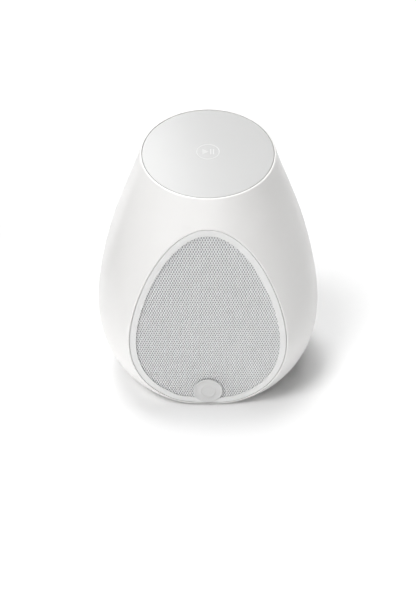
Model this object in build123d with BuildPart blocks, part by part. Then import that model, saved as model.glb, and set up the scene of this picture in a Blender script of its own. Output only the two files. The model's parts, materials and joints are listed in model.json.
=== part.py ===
from build123d import *

import os
from math import asin, cos, radians, sin

# Egg-shaped smart speaker. Millimetres. It stands on Z = 0 and its flat front faces -Y.
# The origin is the centre of the base, on the axis that the egg is turned about.

# ---------------------------------------------------------------- body
AXIS_HEIGHT = 254.4  # where the sloping top crosses the axis
TOP_SLOPE = 12.6  # degrees, front edge low
FRONT_REACH = 89.0  # from the axis to the flat front, at the base
FRONT_LEAN = 1.8  # degrees, top edge back
BODY_BOTTOM = 2.0
BASE_RADIUS = 86.8
EGG_TOP = 282.0
EGG_SIDE = [  # radius and height, from the foot to above the top's highest point
    (93.4, 5),
    (105.5, 22),
    (114, 43),
    (118, 70),
    (116.3, 100),
    (110.6, 130),
    (90.5, 194),
    (67.1, 250),
    (57.4, EGG_TOP),
]
WALL = 4.5
FLOOR_TOP = 8.0
OUTLINE_POINTS = 32  # points of the smooth curves that follow the front's and the top's edges

# ---------------------------------------------------------------- sloping top, depths below it
GLASS_LIP = 1.5
GLASS_GAP = 0.5
GLASS = 3.0
TOP_LEDGE = 3.2
TOP_OPENING = 9.5
CARRIER = 2.0
TOUCH_BOARD = 1.2
MARK_Y = -5.4  # the touch mark's centre, at the middle of the glass
MARK_RADIUS = 12.5
RIBBON_X = 10.0  # the flat cable from the touch controls goes down here
RIBBON_Y = 25.0

# ---------------------------------------------------------------- flat front, depths behind it
FRONT_LIP = 1.2
GRILLE_GAP = 0.5
GRILLE_DEPTH = 9.0
RIM_WIDTH = 6.2
RIM_FRONT = 1.1
MESH = 0.8
BAFFLE = 9.0
BAFFLE_INSET = 7.0
BAFFLE_BACK = GRILLE_DEPTH + BAFFLE
GASKET = 0.8
LEDGE_FRONT = BAFFLE_BACK + GASKET
LEDGE = 4.5
LEDGE_INSET = 13.0
BADGE_RADIUS = 15.2
BADGE_V = 20.0
WOOFER_V = 75.0
TWEETER_V = 163.0

# ---------------------------------------------------------------- rear niche and boards
NICHE_X = 44.4
NICHE_LOW = 17.6
NICHE_HIGH = 56.4
NICHE_WALL_Y = 89.0
NICHE_WALL = 3.0
PANEL = 3.0
PANEL_Y = NICHE_WALL_Y + PANEL
WINDOW_X = 40.0
WINDOW_LOW = 21.5
WINDOW_HIGH = 52.0
TRAY_Z = 18.0
TRAY = 1.2
STANDOFF = 5.0
BOARD = 1.6
BOARD_Z = TRAY_Z + TRAY + STANDOFF
BOARD_TOP = BOARD_Z + BOARD

OPENING_RADIUS = 62.0
BASE_PLATE_RADIUS = 70.0
BASE_PLATE = 2.5
PAD_RADIUS = 80.0
CLEAR = 0.3

# ---------------------------------------------------------------- planes
lean = radians(FRONT_LEAN)
slope = radians(TOP_SLOPE)
FRONT = Plane(origin=(0, -FRONT_REACH, 0), x_dir=(1, 0, 0), z_dir=(0, -cos(lean), sin(lean)))
TOP = Plane(origin=(0, 0, AXIS_HEIGHT), x_dir=(1, 0, 0), z_dir=(0, -sin(slope), cos(slope)))


def on_front(u, v, depth=0.0):
    """A plane parallel to the front, at u across and v up it, its Z outwards."""
    return Plane(origin=FRONT.from_local_coords((u, v, -depth)), x_dir=(1, 0, 0), z_dir=FRONT.z_dir)


def on_top(x, y, depth=0.0):
    """A plane parallel to the sloping top, at x and y on it, its Z outwards."""
    return Plane(origin=TOP.from_local_coords((x, y, -depth)), x_dir=(1, 0, 0), z_dir=TOP.z_dir)


def egg(inset=0.0):
    """The whole egg before its top and front are cut, drawn in by inset at every height."""
    with BuildPart() as body:
        with BuildSketch(Plane.XZ):
            with BuildLine():
                side = Spline(*[(radius - inset, height) for radius, height in EGG_SIDE])
                foot = TangentArc(side @ 0, (BASE_RADIUS - inset, BODY_BOTTOM), tangent=-(side % 0))
                Polyline(foot @ 1, (0, BODY_BOTTOM), (0, EGG_TOP), side @ 1)
            make_face()
        revolve(axis=Axis.Z)
    return body.part


whole_egg = egg()
front_edge = section(whole_egg, section_by=FRONT, mode=Mode.PRIVATE)
top_edge = section(whole_egg, section_by=TOP, mode=Mode.PRIVATE)


def drawn_in(edge, plane, inset, depth):
    """A planar face's outline drawn in by inset, as one smooth closed curve, moved back by depth."""
    wire = edge.faces()[0].outer_wire()
    centre = plane.to_local_coords(edge.faces()[0].center())
    points = []
    for step in range(OUTLINE_POINTS):
        point = plane.to_local_coords(wire @ (step / OUTLINE_POINTS))
        ahead = plane.to_local_coords(wire @ ((step + 0.01) / OUTLINE_POINTS)) - point
        inward = Vector(-ahead.Y, ahead.X).normalized()
        if inward.dot(centre - point) < 0:
            inward = -inward
        points.append(point + inward * inset)
    with BuildSketch(plane.offset(-depth)) as outline:
        with BuildLine():
            Spline(*points, periodic=True)
        make_face()
    return outline.sketch


def front_outline(inset, depth=0.0):
    """The front's outline drawn in by inset, as a face at that depth behind the front."""
    return drawn_in(front_edge, FRONT, inset, depth)


def top_outline(inset, depth=0.0):
    """The glass top's outline drawn in by inset, as a face at that depth below the top."""
    return drawn_in(top_edge, TOP, inset, depth)


def around_front(inset, depth, count, start=0.5):
    """Planes spaced evenly along the front's outline, for screws, holes and magnets."""
    wire = front_outline(inset).faces()[0].outer_wire()
    points = [wire @ ((step + start) / count) for step in range(count)]
    return [Plane(origin=point - FRONT.z_dir * depth, x_dir=(1, 0, 0), z_dir=FRONT.z_dir) for point in points]


def around_driver(v, depth, radius, count, start=0.0):
    """Planes on a circle about a driver's axis, parallel to the front."""
    angles = [radians(start + 360 / count * step) for step in range(count)]
    return [on_front(radius * cos(a), v + radius * sin(a), depth) for a in angles]


def driver_axis(v):
    return Axis(FRONT.from_local_coords((0, v, 0)), FRONT.z_dir)


def driver_plane(v):
    """The plane of a driver's half section: its X is the radius, its Y the height over the front."""
    return Plane(FRONT.from_local_coords((0, v, 0)), x_dir=(1, 0, 0), z_dir=(0, -sin(lean), -cos(lean)))


def half_section(v, *points):
    """A driver's half section from (radius, height over the front) points, as a face."""
    with BuildSketch(driver_plane(v)) as profile:
        with BuildLine():
            Polyline(*points, close=True)
        make_face()
    return profile.sketch


def ring(v, inner, outer, back, front):
    """The half section of a plain ring or disc about a driver's axis."""
    return half_section(v, (inner, back), (outer, back), (outer, front), (inner, front))


def dome(v, radius, rim, rise, thickness):
    """The half section of a spherical cap about a driver's axis, its rim at a height over the front."""
    ball = (radius**2 + rise**2) / (2 * rise)
    centre = rim + rise - ball
    half_angle = asin(radius / ball)

    def on_ball(size, angle):
        return (size * sin(angle), centre + size * cos(angle))

    with BuildSketch(driver_plane(v)) as profile:
        with BuildLine():
            outer = [on_ball(ball, half_angle * share) for share in (0, 0.5, 1)]
            inner = [on_ball(ball - thickness, half_angle * share) for share in (0, 0.5, 1)]
            ThreePointArc(*outer)
            Line(outer[2], inner[2])
            ThreePointArc(*inner)
            Line(inner[0], outer[0])
        make_face()
    return profile.sketch


def screw(head_radius, head_height, shank_radius, length):
    """A screw with a hex socket; the underside of its head is at the origin."""
    with BuildPart() as piece:
        Cylinder(head_radius, head_height, align=(Align.CENTER, Align.CENTER, Align.MIN))
        chamfer(piece.edges().sort_by(Axis.Z)[-1], head_height * 0.25)
        Cylinder(shank_radius, length, align=(Align.CENTER, Align.CENTER, Align.MAX))
        with BuildSketch(Plane.XY.offset(head_height)):
            RegularPolygon(head_radius * 0.5, 6)
        extrude(amount=-head_height * 0.6, mode=Mode.SUBTRACT)
    return piece.part


def drill(places, radius, depth):
    """Blind holes into the current part, from each place along its -Z."""
    with Locations(*places):
        Cylinder(radius, depth, align=(Align.CENTER, Align.CENTER, Align.MAX), mode=Mode.SUBTRACT)


def block(low, high, mode=Mode.ADD):
    """A box between two corners."""
    with Locations((Vector(*low) + Vector(*high)) / 2):
        Box(*[high[axis] - low[axis] for axis in range(3)], mode=mode)


def save(part, name):
    part.label = name
    export_step(part, f"parts/{name}.step")


os.makedirs("parts", exist_ok=True)

# ---------------------------------------------------------------- where fasteners go
BAFFLE_SCREWS = around_front((BAFFLE_INSET + LEDGE_INSET) / 2, BAFFLE_BACK - 6.5, 10, start=0.0)
MAGNETS = around_front(5.2, GRILLE_DEPTH - 0.4, 8, start=0.25)
WOOFER_SCREWS = around_driver(WOOFER_V, GRILLE_DEPTH, 56.6, 6, start=30)
TWEETER_SCREWS = around_driver(TWEETER_V, GRILLE_DEPTH + 1.2, 23.2, 3, start=90)
BASE_SCREWS = [Plane.XY.offset(BODY_BOTTOM).rotated((180, 0, 0)).move(loc) for loc in PolarLocations(66, 6)]
TRAY_POSTS = [Plane((x, y, TRAY_Z + TRAY)) for x, y in ((-45, -50), (45, -50), (-40, 71), (40, 71))]
carrier_back = on_top(0, MARK_Y, GLASS + TOP_LEDGE + CARRIER)
CARRIER_SCREWS = [
    Plane(origin=carrier_back.from_local_coords(place.position), x_dir=(1, 0, 0), z_dir=-TOP.z_dir)
    for place in PolarLocations(59.6, 4, start_angle=45)
]
PANEL_SCREWS = [
    Plane(origin=(x, PANEL_Y, z), x_dir=(1, 0, 0), z_dir=(0, 1, 0)) for x in (-42, 42) for z in (20.2, 53.8)
]

# ---------------------------------------------------------------- enclosure
with BuildPart() as cavity:
    add(egg(WALL))
    split(bisect_by=TOP.offset(-(GLASS + TOP_LEDGE)), keep=Keep.BOTTOM)
    split(bisect_by=Plane.XY.offset(FLOOR_TOP), keep=Keep.TOP)
    extrude(front_outline(-3), amount=-(GRILLE_DEPTH + 4), mode=Mode.SUBTRACT)
    extrude(front_outline(3), amount=-(LEDGE_FRONT + LEDGE), mode=Mode.SUBTRACT)
    block(
        (-NICHE_X - NICHE_WALL, NICHE_WALL_Y - NICHE_WALL, 0),
        (NICHE_X + NICHE_WALL, 130, NICHE_HIGH + NICHE_WALL),
        mode=Mode.SUBTRACT,
    )

with BuildPart() as enclosure_shell:
    add(whole_egg)
    split(bisect_by=TOP, keep=Keep.BOTTOM)
    split(bisect_by=FRONT, keep=Keep.BOTTOM)
    fillet(enclosure_shell.faces().sort_by(Axis.Z)[-1].edges(), 1.1)
    fillet(enclosure_shell.faces().sort_by(Axis.Y)[0].edges(), 0.6)
    block((-NICHE_X, NICHE_WALL_Y, NICHE_LOW), (NICHE_X, 130, NICHE_HIGH), mode=Mode.SUBTRACT)
    add(cavity.part, mode=Mode.SUBTRACT)
    # The glass sits in a pocket on a ledge.
    extrude(top_outline(GLASS_LIP), amount=-GLASS, mode=Mode.SUBTRACT)
    extrude(top_outline(TOP_OPENING), amount=-(GLASS + TOP_LEDGE + 1), mode=Mode.SUBTRACT)
    # The grille's recess, the baffle's recess and the opening inside their ledge.
    extrude(front_outline(FRONT_LIP), amount=-GRILLE_DEPTH, mode=Mode.SUBTRACT)
    extrude(front_outline(BAFFLE_INSET), amount=-LEDGE_FRONT, mode=Mode.SUBTRACT)
    extrude(front_outline(LEDGE_INSET), amount=-(LEDGE_FRONT + LEDGE + 1), mode=Mode.SUBTRACT)
    # The connector window and the round opening in the floor, rebated for its plate.
    block((-WINDOW_X, 80, WINDOW_LOW), (WINDOW_X, 100, WINDOW_HIGH), mode=Mode.SUBTRACT)
    with BuildSketch(Plane.XY):
        Circle(OPENING_RADIUS)
    extrude(amount=FLOOR_TOP + 1, mode=Mode.SUBTRACT)
    with BuildSketch(Plane.XY):
        Circle(BASE_PLATE_RADIUS + 0.2)
    extrude(amount=BODY_BOTTOM + BASE_PLATE, mode=Mode.SUBTRACT)
    # Posts for the chassis tray.
    for post in TRAY_POSTS:
        with BuildSketch(Plane((post.origin.X, post.origin.Y, FLOOR_TOP - 1))):
            Circle(4.5)
        extrude(amount=TRAY_Z - FLOOR_TOP + 1)
    drill(TRAY_POSTS, 1.3, 9)
    drill(BAFFLE_SCREWS, 1.5, 11)
    drill(PANEL_SCREWS, 1.1, PANEL + NICHE_WALL + 1)
    drill([place.offset(-BASE_PLATE) for place in BASE_SCREWS], 1.3, 3)
    drill([place.offset(-CARRIER) for place in CARRIER_SCREWS], 1.1, 2.4)
save(enclosure_shell.part, "enclosure_shell")

with BuildPart() as base_plate:
    with BuildSketch(Plane.XY.offset(BODY_BOTTOM)):
        Circle(BASE_PLATE_RADIUS)
    extrude(amount=BASE_PLATE)
    with BuildSketch(Plane.XY.offset(BODY_BOTTOM + BASE_PLATE)):
        Circle(58)
        Circle(55, mode=Mode.SUBTRACT)
        with PolarLocations(0, 3):
            Rectangle(112, 2.4)
    extrude(amount=2.5)
    drill(BASE_SCREWS, 1.6, BASE_PLATE)
save(base_plate.part, "base_plate")

with BuildPart() as base_screws:
    with Locations(*[place.offset(-0.6) for place in BASE_SCREWS]):
        add(screw(1.55, 0.5, 1.3, 4.6))
save(base_screws.part, "base_screws")

with BuildPart() as foot_pad:
    with BuildSketch():
        Circle(PAD_RADIUS)
    extrude(amount=BODY_BOTTOM)
    chamfer(foot_pad.edges().sort_by(Axis.Z)[0], 0.5)
save(foot_pad.part, "foot_pad")

# ---------------------------------------------------------------- glass top and its touch controls
with BuildPart() as top_glass:
    extrude(top_outline(GLASS_LIP + GLASS_GAP), amount=-GLASS)
    chamfer(top_glass.faces().sort_by(Axis.Z)[-1].edges(), 0.4)
save(top_glass.part, "top_glass")

with BuildPart() as touch_board:
    extrude(top_outline(TOP_OPENING + 3, GLASS), amount=-TOUCH_BOARD)
    with BuildSketch(on_top(0, MARK_Y, GLASS)):
        Circle(MARK_RADIUS + 0.5)
    extrude(amount=-TOUCH_BOARD, mode=Mode.SUBTRACT)
save(touch_board.part, "touch_board")

with BuildPart() as light_guide:
    with BuildSketch(on_top(0, MARK_Y, GLASS)):
        Circle(MARK_RADIUS)
    extrude(amount=-1.5)
save(light_guide.part, "light_guide")

with BuildPart() as led_board:
    with BuildSketch(on_top(0, MARK_Y, GLASS + TOP_LEDGE - 1.0)):
        Circle(MARK_RADIUS + 2)
    extrude(amount=-1.0)
    with BuildSketch(on_top(0, MARK_Y, GLASS + TOP_LEDGE - 1.0)):
        with PolarLocations(8.5, 8):
            Rectangle(1.6, 1.6)
    extrude(amount=0.6)
save(led_board.part, "led_board")

with BuildPart() as top_carrier:
    extrude(top_outline(4.0, GLASS + TOP_LEDGE), amount=-CARRIER)
    with BuildSketch(on_top(0, MARK_Y, GLASS + TOP_LEDGE)):
        with PolarLocations(34, 5, start_angle=90):
            Circle(2.5)
    extrude(amount=TOP_LEDGE - TOUCH_BOARD)
    with BuildSketch(on_top(RIBBON_X, RIBBON_Y, GLASS + TOP_LEDGE)):
        Rectangle(14, 5)
    extrude(amount=-CARRIER, mode=Mode.SUBTRACT)
    drill(CARRIER_SCREWS, 1.3, CARRIER)
save(top_carrier.part, "top_carrier")

with BuildPart() as carrier_screws:
    with Locations(*CARRIER_SCREWS):
        add(screw(2.4, 1.4, 1.1, 4.2))
save(carrier_screws.part, "carrier_screws")

# ---------------------------------------------------------------- grille
with BuildPart() as grille_frame:
    extrude(front_outline(FRONT_LIP + GRILLE_GAP), amount=-RIM_FRONT)
    chamfer(grille_frame.faces().sort_by(Axis.Y)[0].edges(), 0.4)
    extrude(front_outline(FRONT_LIP + GRILLE_GAP, RIM_FRONT), amount=-(GRILLE_DEPTH - 0.4 - RIM_FRONT))
    extrude(front_outline(FRONT_LIP + GRILLE_GAP + RIM_WIDTH), amount=-GRILLE_DEPTH, mode=Mode.SUBTRACT)
    extrude(front_outline(5.4, RIM_FRONT), amount=-GRILLE_DEPTH, mode=Mode.SUBTRACT)
    with Locations(*MAGNETS):
        Cylinder(3.2, 4.6, align=(Align.CENTER, Align.CENTER, Align.MIN))
    drill([place.offset(2.2) for place in MAGNETS], 2.0, 2.2)
save(grille_frame.part, "grille_frame")

with BuildPart() as grille_mesh:
    extrude(front_outline(5.5, RIM_FRONT), amount=-MESH)
save(grille_mesh.part, "grille_mesh")

with BuildPart() as grille_badge:
    with BuildSketch(on_front(0, BADGE_V, -1.0)):
        Circle(BADGE_RADIUS)
    extrude(amount=-0.9)
    with BuildSketch(on_front(0, BADGE_V + 2, -0.1)):
        Circle(7)
    extrude(amount=-1.2)
    chamfer(grille_badge.faces().sort_by(Axis.Y)[0].edges(), 0.3)
save(grille_badge.part, "grille_badge")

with BuildPart() as grille_magnets:
    with Locations(*MAGNETS):
        Cylinder(2.0, 2.0, align=(Align.CENTER, Align.CENTER, Align.MIN))
save(grille_magnets.part, "grille_magnets")

# ---------------------------------------------------------------- baffle
with BuildPart() as front_baffle:
    extrude(front_outline(BAFFLE_INSET + CLEAR, GRILLE_DEPTH), amount=-BAFFLE)
    for v, rebate, rebate_depth, bore in ((WOOFER_V, 60.4, 3.0, 51.6), (TWEETER_V, 26.4, 3.0, 20.6)):
        with BuildSketch(on_front(0, v, GRILLE_DEPTH)):
            Circle(rebate)
        extrude(amount=-rebate_depth, mode=Mode.SUBTRACT)
        with BuildSketch(on_front(0, v, GRILLE_DEPTH)):
            Circle(bore)
        extrude(amount=-BAFFLE, mode=Mode.SUBTRACT)
    drill(BAFFLE_SCREWS, 1.7, 7)
    drill([place.offset(3) for place in BAFFLE_SCREWS], 3.4, 3)
    drill([place.offset(-3) for place in WOOFER_SCREWS], 1.5, 5)
    drill([place.offset(-1.8) for place in TWEETER_SCREWS], 1.1, 4.5)
save(front_baffle.part, "front_baffle")

with BuildPart() as baffle_gasket:
    extrude(front_outline(BAFFLE_INSET + 0.5, BAFFLE_BACK), amount=-GASKET)
    extrude(front_outline(LEDGE_INSET - 0.5, BAFFLE_BACK), amount=-GASKET, mode=Mode.SUBTRACT)
    drill(BAFFLE_SCREWS, 1.7, 8)
save(baffle_gasket.part, "baffle_gasket")

with BuildPart() as baffle_screws:
    with Locations(*BAFFLE_SCREWS):
        add(screw(3.0, 2.2, 1.5, 10.6))
save(baffle_screws.part, "baffle_screws")

# ---------------------------------------------------------------- woofer
FLANGE = -GRILLE_DEPTH  # height of both drivers' flanges over the front
with BuildPart() as woofer_basket:
    profile = half_section(
        WOOFER_V,
        (49.2, FLANGE), (60, FLANGE), (60, FLANGE - 2.5), (51.2, FLANGE - 2.5), (42.0, -34.5), (42.0, -38),
        (17, -38), (17, -36), (33, -36), (33, -32.6), (39.2, -32.6), (47.8, -13),
    )
    revolve(profile, axis=driver_axis(WOOFER_V))
    for place in around_driver(WOOFER_V, 22.5, 46, 6, start=0):
        direction = place.origin - FRONT.from_local_coords((0, WOOFER_V, -22.5))
        with BuildSketch(Plane(origin=place.origin + direction * 0.25, x_dir=FRONT.z_dir, z_dir=direction)):
            RectangleRounded(12, 30, 3)
        extrude(amount=-20, mode=Mode.SUBTRACT)
    drill(WOOFER_SCREWS, 1.7, 2.5)
save(woofer_basket.part, "woofer_basket")

with BuildPart() as woofer_gasket:
    revolve(ring(WOOFER_V, 52, 60, FLANGE - 3.0, FLANGE - 2.5), axis=driver_axis(WOOFER_V))
    drill(WOOFER_SCREWS, 1.7, 4)
save(woofer_gasket.part, "woofer_gasket")

with BuildPart() as woofer_screws:
    with Locations(*WOOFER_SCREWS):
        add(screw(2.8, 1.8, 1.5, 7.4))
save(woofer_screws.part, "woofer_screws")

with BuildPart() as woofer_surround:
    with BuildSketch(driver_plane(WOOFER_V)):
        with BuildLine():
            Polyline((38.2, -8.3), (37.0, -8.3), (37.0, -9.0), (38.8, -9.0))
            ThreePointArc((38.8, -9.0), (43.6, -4.9), (48.4, -9.0))
            Polyline((48.4, -9.0), (53.6, -9.0), (53.6, -8.3), (49.0, -8.3))
            ThreePointArc((49.0, -8.3), (43.6, -4.2), (38.2, -8.3))
        make_face()
    revolve(axis=driver_axis(WOOFER_V))
save(woofer_surround.part, "woofer_surround")

with BuildPart() as woofer_cone:
    profile = half_section(
        WOOFER_V,
        (38.6, -9.0), (36.6, -9.0), (28, -14.6), (20, -21.2), (13.0, -27.4), (13.0, -28.6), (14.4, -28.6),
        (20.8, -22.1), (28.6, -15.7), (38.6, -10.2),
    )
    revolve(profile, axis=driver_axis(WOOFER_V))
save(woofer_cone.part, "woofer_cone")

with BuildPart() as woofer_dust_cap:
    revolve(dome(WOOFER_V, 16.8, -23.5, 6.5, 0.8), axis=driver_axis(WOOFER_V))
save(woofer_dust_cap.part, "woofer_dust_cap")

with BuildPart() as woofer_coil_former:
    revolve(ring(WOOFER_V, 12.6, 13.0, -48, -25), axis=driver_axis(WOOFER_V))
save(woofer_coil_former.part, "woofer_coil_former")

with BuildPart() as woofer_voice_coil:
    revolve(ring(WOOFER_V, 13.0, 13.9, -48, -34), axis=driver_axis(WOOFER_V))
save(woofer_voice_coil.part, "woofer_voice_coil")

SPIDER_RADII = [13.0, 15.5, 18.0, 20.5, 23.0, 25.5, 28.0, 30.5, 33.4, 38.9]
SPIDER_HEIGHTS = [-31.8, -33.0, -30.6, -33.0, -30.6, -33.0, -30.6, -33.0, -31.8, -31.8]
with BuildPart() as woofer_spider:
    upper = list(zip(SPIDER_RADII, [height + 0.3 for height in SPIDER_HEIGHTS]))
    lower = list(zip(SPIDER_RADII, [height - 0.3 for height in SPIDER_HEIGHTS]))
    revolve(half_section(WOOFER_V, *upper, *reversed(lower)), axis=driver_axis(WOOFER_V))
save(woofer_spider.part, "woofer_spider")

with BuildPart() as woofer_top_plate:
    revolve(ring(WOOFER_V, 14.6, 38, -44, -38), axis=driver_axis(WOOFER_V))
save(woofer_top_plate.part, "woofer_top_plate")

with BuildPart() as woofer_magnet:
    revolve(ring(WOOFER_V, 22, 40, -58, -44), axis=driver_axis(WOOFER_V))
save(woofer_magnet.part, "woofer_magnet")

with BuildPart() as woofer_yoke:
    revolve(
        half_section(WOOFER_V, (4, -64), (36, -64), (38, -62), (38, -58), (12.2, -58), (12.2, -38), (4, -38)),
        axis=driver_axis(WOOFER_V),
    )
save(woofer_yoke.part, "woofer_yoke")

with BuildPart() as woofer_terminals:
    with BuildSketch(on_front(0, WOOFER_V + 42.0, 34.6)):
        Rectangle(16, 9, align=(Align.CENTER, Align.MIN))
    extrude(amount=-3.4)
    with BuildSketch(on_front(0, WOOFER_V + 47.5, 38)):
        with Locations((-5, 0), (5, 0)):
            Rectangle(0.8, 4.8)
    extrude(amount=-6)
save(woofer_terminals.part, "woofer_terminals")

# ---------------------------------------------------------------- tweeter
with BuildPart() as tweeter_faceplate:
    profile = half_section(
        TWEETER_V,
        (21, FLANGE), (26, FLANGE), (26, FLANGE - 3), (13.2, FLANGE - 3), (13.2, -11.0), (16, -10.4),
    )
    revolve(profile, axis=driver_axis(TWEETER_V))
    drill([place.offset(1.2) for place in TWEETER_SCREWS], 2.5, 1.2)
    drill(TWEETER_SCREWS, 1.3, 3)
save(tweeter_faceplate.part, "tweeter_faceplate")

with BuildPart() as tweeter_screws:
    with Locations(*TWEETER_SCREWS):
        add(screw(2.2, 1.1, 1.1, 6.2))
save(tweeter_screws.part, "tweeter_screws")

with BuildPart() as tweeter_dome:
    revolve(dome(TWEETER_V, 9.5, -11.6, 3.4, 0.4), axis=driver_axis(TWEETER_V))
save(tweeter_dome.part, "tweeter_dome")

with BuildPart() as tweeter_surround:
    with BuildSketch(driver_plane(TWEETER_V)):
        with BuildLine():
            Polyline((9.5, -11.6), (9.5, -11.9))
            ThreePointArc((9.5, -11.9), (10.9, -11.0), (12.3, -11.9))
            Polyline((12.3, -11.9), (13.1, -11.9), (13.1, -11.6), (12.5, -11.6))
            ThreePointArc((12.5, -11.6), (11.0, -10.7), (9.5, -11.6))
        make_face()
    revolve(axis=driver_axis(TWEETER_V))
save(tweeter_surround.part, "tweeter_surround")

with BuildPart() as tweeter_voice_coil:
    revolve(ring(TWEETER_V, 8.9, 9.5, -16.6, -11.95), axis=driver_axis(TWEETER_V))
save(tweeter_voice_coil.part, "tweeter_voice_coil")

with BuildPart() as tweeter_top_plate:
    revolve(
        half_section(TWEETER_V, (10.0, -16), (20, -16), (20, -12), (13.3, -12), (13.3, -13), (10.0, -13)),
        axis=driver_axis(TWEETER_V),
    )
save(tweeter_top_plate.part, "tweeter_top_plate")

with BuildPart() as tweeter_magnet:
    revolve(ring(TWEETER_V, 11, 19.6, -24, -16), axis=driver_axis(TWEETER_V))
save(tweeter_magnet.part, "tweeter_magnet")

with BuildPart() as tweeter_yoke:
    revolve(
        half_section(TWEETER_V, (2, -27), (19.6, -27), (19.6, -24), (8.5, -24), (8.5, -13), (2, -13)),
        axis=driver_axis(TWEETER_V),
    )
save(tweeter_yoke.part, "tweeter_yoke")

with BuildPart() as tweeter_rear_cup:
    revolve(
        half_section(
            TWEETER_V,
            (0, -40), (17, -40), (19.6, -37.4), (19.6, -27), (18, -27), (18, -37), (16.4, -38.4), (0, -38.4),
        ),
        axis=driver_axis(TWEETER_V),
    )
save(tweeter_rear_cup.part, "tweeter_rear_cup")

# ---------------------------------------------------------------- rear panel
BUTTON_X = 18.0
BUTTON_Z = 47.0
BUTTON_RADIUS = 3.0
JACKS = {
    "mains_inlet": ((-39, 68, BOARD_TOP), (-13, PANEL_Y, BOARD_TOP + 20)),
    "ethernet_jack": ((-8, 70.5, BOARD_TOP), (8, PANEL_Y, BOARD_TOP + 13.5)),
    "hdmi_jack": ((10.5, 80, BOARD_TOP), (25.5, PANEL_Y, BOARD_TOP + 6.4)),
    "usb_jack": ((26.6, 78, BOARD_TOP), (39.7, PANEL_Y, BOARD_TOP + 6.8)),
}

with BuildPart() as connector_panel:
    block((-NICHE_X + 0.4, NICHE_WALL_Y, NICHE_LOW + 0.4), (NICHE_X - 0.4, PANEL_Y, NICHE_HIGH - 0.4))
    fillet(connector_panel.edges().filter_by(Axis.Y), 1.5)
    for low, high in JACKS.values():
        block(
            (low[0] - CLEAR, 85, low[2] - CLEAR), (high[0] + CLEAR, 95, high[2] + CLEAR), mode=Mode.SUBTRACT
        )
    with BuildSketch(Plane(origin=(BUTTON_X, NICHE_WALL_Y, BUTTON_Z), x_dir=(1, 0, 0), z_dir=(0, -1, 0))):
        with Locations((-7.2, 0), (7.2, 0)):
            Circle(2.2)
    extrude(amount=5.8)
    with Locations(Plane(origin=(BUTTON_X, PANEL_Y, BUTTON_Z), x_dir=(1, 0, 0), z_dir=(0, 1, 0))):
        Cylinder(BUTTON_RADIUS + 0.35, 8, mode=Mode.SUBTRACT)
    drill(PANEL_SCREWS, 1.4, PANEL)
    drill(PANEL_SCREWS, 2.6, 1.0)
save(connector_panel.part, "connector_panel")

with BuildPart() as panel_screws:
    with Locations(*[place.offset(-1.0) for place in PANEL_SCREWS]):
        add(screw(2.3, 0.9, 1.1, 4.9))
save(panel_screws.part, "panel_screws")

with BuildPart() as mains_inlet:
    low, high = JACKS["mains_inlet"]
    block(low, high)
    centre = ((low[0] + high[0]) / 2, PANEL_Y, (low[2] + high[2]) / 2)
    face = Plane(origin=centre, x_dir=(1, 0, 0), z_dir=(0, 1, 0))
    with BuildSketch(face):
        SlotOverall(17.4, 9.6)
    extrude(amount=-14, mode=Mode.SUBTRACT)
    with BuildSketch(face.offset(-14)):
        with Locations((-4.3, 0), (4.3, 0)):
            Circle(1.2)
    extrude(amount=11)
save(mains_inlet.part, "mains_inlet")

with BuildPart() as ethernet_jack:
    low, high = JACKS["ethernet_jack"]
    block(low, high)
    block((-5.95, 75.5, BOARD_TOP + 3.2), (5.95, 95, BOARD_TOP + 11.6), mode=Mode.SUBTRACT)
    block((-3.1, 75.5, BOARD_TOP + 1.2), (3.1, 95, BOARD_TOP + 3.2), mode=Mode.SUBTRACT)
    for contact in range(8):
        x = (contact - 3.5) * 1.02
        block((x - 0.25, 76.5, BOARD_TOP + 10.7), (x + 0.25, 86, BOARD_TOP + 11.6))
save(ethernet_jack.part, "ethernet_jack")

with BuildPart() as hdmi_jack:
    low, high = JACKS["hdmi_jack"]
    block(low, high)
    middle = (low[0] + high[0]) / 2
    with BuildSketch(Plane(origin=(middle, PANEL_Y, BOARD_TOP + 3.2), x_dir=(-1, 0, 0), z_dir=(0, 1, 0))):
        with BuildLine():
            Polyline((-7, 2.3), (7, 2.3), (7, -0.6), (5, -2.3), (-5, -2.3), (-7, -0.6), close=True)
        make_face()
    extrude(amount=-9, mode=Mode.SUBTRACT)
    block((middle - 5.4, 83, BOARD_TOP + 3.1), (middle + 5.4, 90.6, BOARD_TOP + 4.0))
save(hdmi_jack.part, "hdmi_jack")

with BuildPart() as usb_jack:
    low, high = JACKS["usb_jack"]
    block(low, high)
    block((low[0] + 0.4, 81, BOARD_TOP + 0.8), (high[0] - 0.4, 95, BOARD_TOP + 6.0), mode=Mode.SUBTRACT)
    block((low[0] + 1.2, 81, BOARD_TOP + 3.6), (high[0] - 1.2, 90.8, BOARD_TOP + 5.4))
save(usb_jack.part, "usb_jack")

BUTTON_BACK = 87.2
with BuildPart() as setup_button:
    with BuildSketch(Plane(origin=(BUTTON_X, BUTTON_BACK, BUTTON_Z), x_dir=(1, 0, 0), z_dir=(0, 1, 0))):
        Circle(BUTTON_RADIUS)
    extrude(amount=PANEL_Y + 0.8 - BUTTON_BACK)
    fillet(setup_button.edges().sort_by(Axis.Y)[-1], 0.5)
save(setup_button.part, "setup_button")

with BuildPart() as button_switch:
    block((BUTTON_X - 10, 82.0, BUTTON_Z - 4.5), (BUTTON_X + 10, 83.2, BUTTON_Z + 4.5))
    block((BUTTON_X - 3, 83.2, BUTTON_Z - 3), (BUTTON_X + 3, 85.4, BUTTON_Z + 3))
    with BuildSketch(Plane(origin=(BUTTON_X, 85.4, BUTTON_Z), x_dir=(1, 0, 0), z_dir=(0, 1, 0))):
        Circle(1.6)
    extrude(amount=0.9)
save(button_switch.part, "button_switch")

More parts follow.
